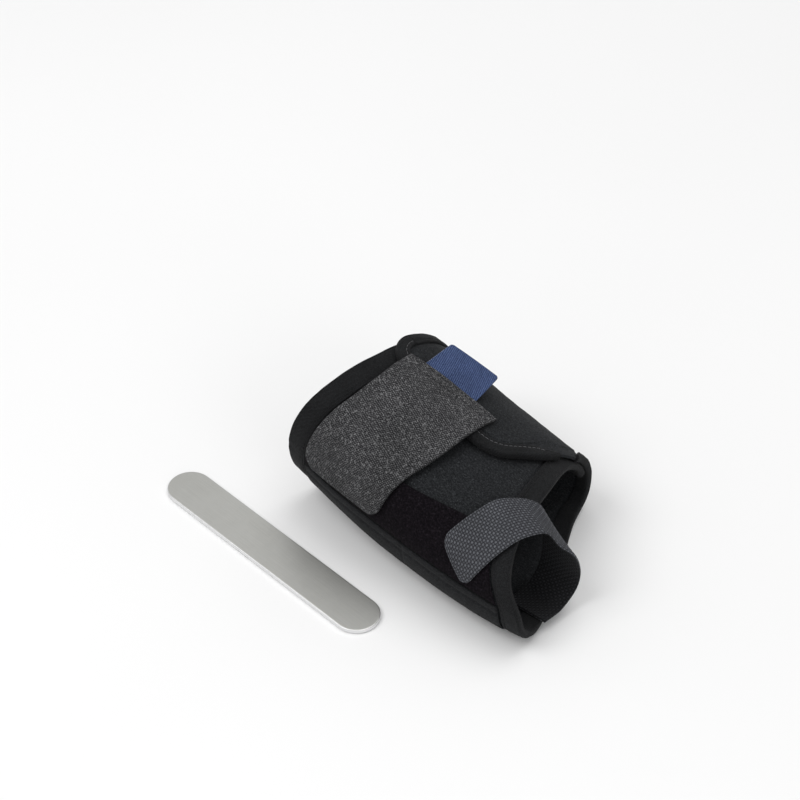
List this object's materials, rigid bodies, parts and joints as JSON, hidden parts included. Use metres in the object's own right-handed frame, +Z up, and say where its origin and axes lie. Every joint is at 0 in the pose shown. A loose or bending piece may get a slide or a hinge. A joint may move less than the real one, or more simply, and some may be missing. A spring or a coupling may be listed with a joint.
{
  "type": "bunion corrector brace",
  "caption": "Open-ended stretch forefoot wrap with a bound lap flap, an instep strap, a toe-loop strap, a fabric tab and a flat metal stay beside it.",
  "frame": {"origin": "centre of the sole's flat rest face, on the floor plane", "axes": "+X towards the toe end, +Y towards the outer side of a left foot, +Z up"},
  "size_m": [0.1793, 0.1273, 0.0742],
  "materials": {
    "neoprene": "charcoal stretch cloth over foam, matt with a faint grain",
    "edge_tape": "near-black folded binding tape, matt",
    "loop_velvet": "deep black loop pile",
    "stretch_band": "charcoal stretch cloth, matt",
    "plush_webbing": "speckled grey brushed webbing",
    "woven_webbing": "grey basket-weave webbing",
    "label_cloth": "blue woven cloth, left bare",
    "satin_aluminium": "satin brushed, edges lightly rounded"
  },
  "bodies": {
    "root": {"wrap": "neoprene", "rear_binding": "edge_tape", "front_binding": "edge_tape", "flap_binding": "edge_tape", "loop_panel": "loop_velvet", "stay_pocket": "stretch_band", "instep_strap": "plush_webbing", "toe_strap": "woven_webbing", "label": "label_cloth", "stay": "satin_aluminium"}
  },
  "joints": []
}
